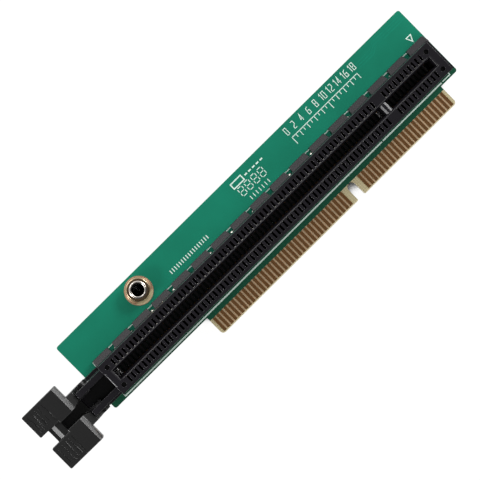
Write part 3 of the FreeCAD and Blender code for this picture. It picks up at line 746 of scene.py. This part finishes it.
ring_low, ring_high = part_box("front_copper_ring")
ring_middle = (ring_low + ring_high) / 2
bm = bmesh.new()
loops = []
for step in range(FILLET_STEPS + 1):
    spread = step / FILLET_STEPS
    middle = standoff_middle.lerp(ring_middle, spread)
    radius = COLLAR_RADIUS_MM * MM * (1 - spread) + FILLET_REACH * spread
    height = ring_high.z + FILLET_HEIGHT * (1 - spread) ** 2
    loops.append(add_circle(bm, middle.x, middle.y, radius, height, TURN_STEPS))
foot = [bm.verts.new((v.co.x, v.co.y, ring_high.z - FILLET_SINK)) for v in loops[-1]]
inner_foot = [bm.verts.new((v.co.x, v.co.y, ring_high.z - FILLET_SINK)) for v in loops[0]]
join_rings(bm, loops + [foot, inner_foot], closed=True)
fillet_piece = finish_piece("standoff_solder_fillet", bm, flux_stained_solder_with_painted_highlight, "card")
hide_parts("standoff_solder")

# %% [markdown]
# ## Printed lines, traces and lands
#
# Three thin layers lie on the board: copper traces under the mask, which show as faint ridges,
# the white legend printed on top, and the tinned lands that the slot's tails are soldered to.
# Each could be a texture, but real geometry keeps its crisp edge in a close view. Traces and
# printed lines are both flat bars along a path, with mitred bends, so one function makes both.

# %% Flat bars along a path
def add_stroke(bm, points, width, low, high, closed=False):
    """Flat bar with mitred bends along (x, y) points in metres, between two heights."""
    path = [Vector(point) for point in points]
    rings = []
    for index, here in enumerate(path):
        arriving = here - path[index - 1]
        leaving = path[(index + 1) % len(path)] - here
        if not closed and index == 0:
            arriving = leaving
        if not closed and index == len(path) - 1:
            leaving = arriving
        across = Vector((-arriving.y, arriving.x)).normalized()
        mitre = across + Vector((-leaving.y, leaving.x)).normalized()
        mitre *= width / 2 / mitre.dot(across)
        corners = ((here + mitre, low), (here + mitre, high), (here - mitre, high), (here - mitre, low))
        rings.append([bm.verts.new((corner.x, corner.y, z)) for corner, z in corners])
    join_rings(bm, rings, closed)
    if not closed:
        bm.faces.new(rings[0])
        bm.faces.new(rings[-1][::-1])


def from_slot(x_mm, y_mm):
    """Place on the board in metres, from millimetres about the slot's middle."""
    return slot_x + x_mm * MM, slot_y + y_mm * MM


def middles_along_x(node_name):
    """X of each copy in a row of equal pieces, from the two ends that each copy has."""
    ends = sorted({round(vertex.co.x, 6) for vertex in frame["nodes"][node_name].data.vertices})
    return [(ends[i] + ends[i + 1]) / 2 for i in range(0, len(ends), 2)]

# %% [markdown]
# The legend is a white epoxy ink pushed through a screen. It is matt, about 0.03 mm thick and
# lets a little of the green through, so its white is slightly cool and uneven. The long outline
# shows where the slot's feet stand, and only its lower line and the bits in the foot gaps show.

# %% Legend ink and the slot's outline
INK_HEIGHT = 0.03 * MM
OUTLINE_WIDTH = 0.2 * MM
OUTLINE_END_WIDTH = 0.14 * MM
OUTLINE_X_MM = 44.98         # half of the outline's length
LONG_LINE_WIDTH = 0.3 * MM
OUTLINE_TOP_MM = 4.53
OUTLINE_LOW_MM = -4.5
LINE_BREAKS_MM = (26.2, 42.8)    # small gaps in the long line
BREAK_HALF_MM = 0.15

legend_ink, tree, shader = new_material("white_screen_printed_epoxy_ink", Roughness=0.6, IOR=1.5)
patchy = add_node(tree, "ShaderNodeTexNoise", {"Vector": place_in_mm(tree), "Scale": 3.0, "Detail": 3.0})
tone = add_node(tree, "ShaderNodeMix",
                {"Factor": patchy.outputs["Fac"], 6: linear("#cdeadb"), 7: linear("#eefaf4")},
                data_type="RGBA").outputs[2]
tree.links.new(tone, shader.inputs["Base Color"])


def add_ink(bm, points_mm, width=OUTLINE_WIDTH, closed=False):
    """Printed line through points about the slot's middle."""
    points = [from_slot(x, y) for x, y in points_mm]
    add_stroke(bm, points, width, board_high.z, board_high.z + INK_HEIGHT, closed)


bm = bmesh.new()
add_ink(bm, [(OUTLINE_X_MM, OUTLINE_TOP_MM), (-OUTLINE_X_MM, OUTLINE_TOP_MM)])
end_line = [(-OUTLINE_X_MM, OUTLINE_TOP_MM - 0.12), (-OUTLINE_X_MM, OUTLINE_LOW_MM + 0.17)]
add_ink(bm, end_line, OUTLINE_END_WIDTH)
long_line_start = -OUTLINE_X_MM - 0.07
for break_mm in LINE_BREAKS_MM:
    line = [(long_line_start, OUTLINE_LOW_MM), (break_mm - BREAK_HALF_MM, OUTLINE_LOW_MM)]
    add_ink(bm, line, LONG_LINE_WIDTH)
    long_line_start = break_mm + BREAK_HALF_MM
corner = [(long_line_start, OUTLINE_LOW_MM), (OUTLINE_X_MM, OUTLINE_LOW_MM)]
corner += [(OUTLINE_X_MM, OUTLINE_LOW_MM + 0.6)]
add_ink(bm, corner)
finish_piece("slot_outline_print", bm, legend_ink, "card")

# %% [markdown]
# A board like this has lines of print near its plain edge. Here they are a millimetre ruler, four
# blank figures for a date, an empty box, and rows of plain marks. A figure is drawn with straight
# strokes on a grid one unit wide and two high, as on a plotter, so a few short lists cover them.

# %% Ruler and plain marks
DIGIT_STROKES = {
    "0": [[(0, 0), (0, 2), (1, 2), (1, 0)], [(0, 0), (1, 0)]],
    "1": [[(0.2, 1.6), (0.6, 2), (0.6, 0)]],
    "2": [[(0, 2), (1, 2), (1, 1.1), (0, 0.5), (0, 0), (1, 0)]],
    "4": [[(0.75, 0), (0.75, 2), (0, 0.6), (1.1, 0.6)]],
    "6": [[(1, 2), (0.2, 1.7), (0, 1), (0, 0), (1, 0), (1, 1), (0, 1)]],
    "8": [[(0, 1), (0, 2), (1, 2), (1, 1), (0, 1), (0, 0), (1, 0), (1, 1)]],
}
RULER_START_MM = 14.0
RULER_LINE_MM = 8.55
RULER_STEPS = 18
LONG_TICK_MM = 1.65
EVEN_TICK_MM = 1.2
SHORT_TICK_MM = 0.75
NUMBERS_LOW_MM = 9.4
NUMBER_SIZE_MM = (0.55, 1.5)
FIGURES_START_MM = -0.95
FIGURE_PITCH_MM = 1.78
FIGURES_LOW_MM = 7.0
NUMBER_STROKE = 0.14 * MM
TICK_STROKE = 0.15 * MM
RULER_STROKE = 0.16 * MM
FIGURE_STROKE = 0.16 * MM
MARK_STROKE = 0.17 * MM
BOX_STROKE = 0.24 * MM
DASH_STROKE = 0.3 * MM


def add_number(bm, number, middle_mm, low_mm, size_mm, stroke):
    """Number drawn with plain strokes, centred on a place along the board."""
    wide, high = size_mm
    pitch = wide * 1.4
    start = middle_mm - (len(number) * pitch - 0.4 * wide) / 2
    for index, digit in enumerate(number):
        for line in DIGIT_STROKES[digit]:
            add_ink(bm, [(start + index * pitch + x * wide, low_mm + y * high / 2) for x, y in line], stroke)


def add_blank_figure(bm, x_mm, low_mm, wide=1.15, high=1.9, gap=0.16):
    """Seven separate strokes, as in a figure whose value is filled in by hand."""
    middle_mm = low_mm + high / 2
    for level in (low_mm, middle_mm, low_mm + high):
        add_ink(bm, [(x_mm + gap, level), (x_mm + wide - gap, level)], FIGURE_STROKE)
    for side in (x_mm, x_mm + wide):
        for start in (low_mm, middle_mm):
            add_ink(bm, [(side, start + gap), (side, start + high / 2 - gap)], FIGURE_STROKE)


def add_row(bm, start_mm, pitch_mm, count, line_mm, stroke):
    """Row of equal plain lines, each given from its own start."""
    for index in range(count):
        add_ink(bm, [(start_mm + index * pitch_mm + x, y) for x, y in line_mm], stroke)


bm = bmesh.new()
ruler_end = RULER_START_MM + RULER_STEPS
half_stroke_mm = RULER_STROKE / MM / 2
ruler_line = [(RULER_START_MM - half_stroke_mm, RULER_LINE_MM), (ruler_end + half_stroke_mm, RULER_LINE_MM)]
add_ink(bm, ruler_line, RULER_STROKE)
for step in range(RULER_STEPS + 1):
    tick_mm = LONG_TICK_MM if step % 10 == 0 else EVEN_TICK_MM if step % 2 == 0 else SHORT_TICK_MM
    tick_x = RULER_START_MM + step
    add_ink(bm, [(tick_x, RULER_LINE_MM), (tick_x, RULER_LINE_MM - tick_mm)], TICK_STROKE)
    if step % 2 == 0:
        add_number(bm, str(step), tick_x, NUMBERS_LOW_MM, NUMBER_SIZE_MM, NUMBER_STROKE)
finish_piece("ruler_print", bm, legend_ink, "card")

bm = bmesh.new()
empty_box = [(-1.25, 9.3), (-1.25, 10.45), (1.5, 10.45), (1.5, 9.3)]
add_ink(bm, empty_box, BOX_STROKE, closed=True)
add_row(bm, start_mm=2.1, pitch_mm=1.05, count=5, line_mm=[(0, 9.85), (0.65, 9.85)], stroke=DASH_STROKE)
for index in range(4):
    add_blank_figure(bm, FIGURES_START_MM + index * FIGURE_PITCH_MM, FIGURES_LOW_MM)
add_row(bm, start_mm=0.0, pitch_mm=0.8, count=7, line_mm=[(0, 5.35), (0, 6.2)], stroke=MARK_STROKE)
add_row(bm, start_mm=-21.55, pitch_mm=0.62, count=17, line_mm=[(0, 6.0), (0, 6.85)], stroke=OUTLINE_WIDTH)
corner_triangle = [(43.75, 6.6), (44.95, 6.6), (44.35, 5.3)]
add_ink(bm, corner_triangle, closed=True)
finish_piece("plain_marks_print", bm, legend_ink, "card")

# %% [markdown]
# Copper traces are 0.035 mm thick, and the mask levels out over them, so what shows is a ridge of
# a hundredth of a millimetre in a slightly lighter green, because copper under the mask throws
# back more light than laminate does. On the back, each pad's trace jogs across to the tail that
# it feeds, between the outer lands.

# %% Traces under the mask
TRACE_HEIGHT = 0.012 * MM
TRACE_WIDTH = 0.26 * MM
THIN_TRACE_WIDTH = 0.6 * TRACE_WIDTH
BACK_TRACE_WIDTH = 0.8 * TRACE_WIDTH
FRONT_TRACE_END = 3.0 * MM   # from the slot's middle, well under the housing
SHADE_FROM_SLOT_MM = 3.3      # beyond this from the slot's middle a trace gets the strip's painted shade
PAD_TO_TAIL = 0.4 * MM       # a tail lies this far along the slot from its pad
JOG_START = 0.5 * MM         # a back trace jogs between these distances from its pad
JOG_END = 0.9 * MM
HALF_SPRING = 0.1 * MM       # half a spring's thickness
SAME_TAIL = 0.1 * MM         # a trace this near to a tail belongs to it

masked_copper, tree, shader = new_material("green_solder_mask_over_copper", Roughness=0.32, IOR=1.5)
cloud = add_node(tree, "ShaderNodeTexNoise",
                 {"Vector": place_in_mm(tree), "Scale": 0.8, "Detail": 2.0}).outputs["Fac"]
tone = add_node(tree, "ShaderNodeMix", {"Factor": cloud, 6: linear("#0b7259"), 7: linear("#158c71")},
                data_type="RGBA").outputs[2]
across_mm = add_node(tree, "ShaderNodeSeparateXYZ", {0: place_in_mm(tree)}).outputs["Y"]
# Painted shade: traces in the strip beside the housing are coloured as dark as that strip, for the housing's
# shadow.
in_painted_shade_strip = add_node(tree, "ShaderNodeMath", {0: across_mm, 1: slot_y / MM - SHADE_FROM_SLOT_MM},
                    operation="LESS_THAN").outputs[0]
tone = add_node(tree, "ShaderNodeMix", {"Factor": in_painted_shade_strip, 6: tone, 7: linear("#12583f")},
                data_type="RGBA").outputs[2]
tree.links.new(tone, shader.inputs["Base Color"])

inner_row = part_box("tongue_side_inner_contacts")[0].y + HALF_SPRING
outer_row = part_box("tongue_side_outer_contacts")[0].y + HALF_SPRING
inner_tails = middles_along_x("tongue_side_inner_contacts")
front_low, front_high = board_high.z, board_high.z + TRACE_HEIGHT
back_low, back_high = board_low.z - TRACE_HEIGHT, board_low.z
front = bmesh.new()
back = bmesh.new()
for bank in ("long", "short"):
    for x in middles_along_x(f"front_pads_{bank}_bank"):
        run = [(x, pad_root_y), (x, slot_y - FRONT_TRACE_END)]
        add_stroke(front, run, TRACE_WIDTH, front_low, front_high)
    for x in middles_along_x(f"back_pads_{bank}_bank"):
        tail_x = x + PAD_TO_TAIL
        is_inner = min(abs(tail_x - other) for other in inner_tails) < SAME_TAIL
        goal = inner_row if is_inner else outer_row
        jog = [(x, pad_root_y), (x, pad_root_y + JOG_START)]
        jog += [(tail_x, pad_root_y + JOG_END), (tail_x, goal)]
        add_stroke(back, jog, BACK_TRACE_WIDTH, back_low, back_high)
for offset in range(3):
    edge_run = [(33.0, 8.9 + 0.55 * offset), (37.0, 8.9 + 0.55 * offset), (38.2, 9.7 + 0.55 * offset),
                (46.2, 9.7 + 0.55 * offset)]
    add_stroke(front, [from_slot(x, y) for x, y in edge_run], TRACE_WIDTH, front_low, front_high)
for offset in range(2):
    short_run = [(-17.4, 10.6 + 0.5 * offset), (-16.9, 10.9 + 0.3 * offset), (-12.6, 10.9 + 0.3 * offset)]
    add_stroke(front, [from_slot(x, y) for x, y in short_run], THIN_TRACE_WIDTH, front_low, front_high)
finish_piece("front_copper_traces", front, masked_copper, "card")
finish_piece("back_copper_traces", back, masked_copper, "card")

# %% [markdown]
# Each tail ends in a cone of solder on a round tinned land. The cones are lathe shapes, hollow in
# outline because liquid solder is drawn up the metal. They are all in one mesh, since they are
# one metal and never move apart. The places come from the contact springs themselves.

# %% Lands and solder joints
JOINT_TURN_STEPS = 16
back_joint_mm = [(0.64, 0.0), (0.64, 0.03), (0.55, 0.05), (0.42, 0.11)]
back_joint_mm += [(0.32, 0.24), (0.26, 0.40), (0.21, 0.54)]
front_land_mm = [(0.62, 0.0), (0.62, 0.04), (0.52, 0.12), (0.38, 0.20), (0.22, 0.25)]


def add_joint(bm, x, y, face_z, outward, profile_mm):
    """Lathe shape on one face of the board, from a profile of (radius, height) pairs."""
    rings = [add_circle(bm, x, y, radius * MM, face_z + outward * height * MM, JOINT_TURN_STEPS)
             for radius, height in profile_mm]
    join_rings(bm, rings, closed=False)
    bm.faces.new(rings[0])
    bm.faces.new(rings[-1][::-1])


bm = bmesh.new()
row_places = {"inner": slot_y - inner_row, "outer": slot_y - outer_row}
for side_name, side in (("tongue", -1), ("plain", 1)):
    for row_name, reach in row_places.items():
        for x in middles_along_x(f"{side_name}_side_{row_name}_contacts"):
            add_joint(bm, x, slot_y + side * reach, board_low.z, -1, back_joint_mm)
for x in middles_along_x("plain_side_outer_contacts"):
    add_joint(bm, x, slot_y + row_places["outer"], board_high.z, 1, front_land_mm)
finish_piece("tail_solder_joints", bm, solder_metal, "card")
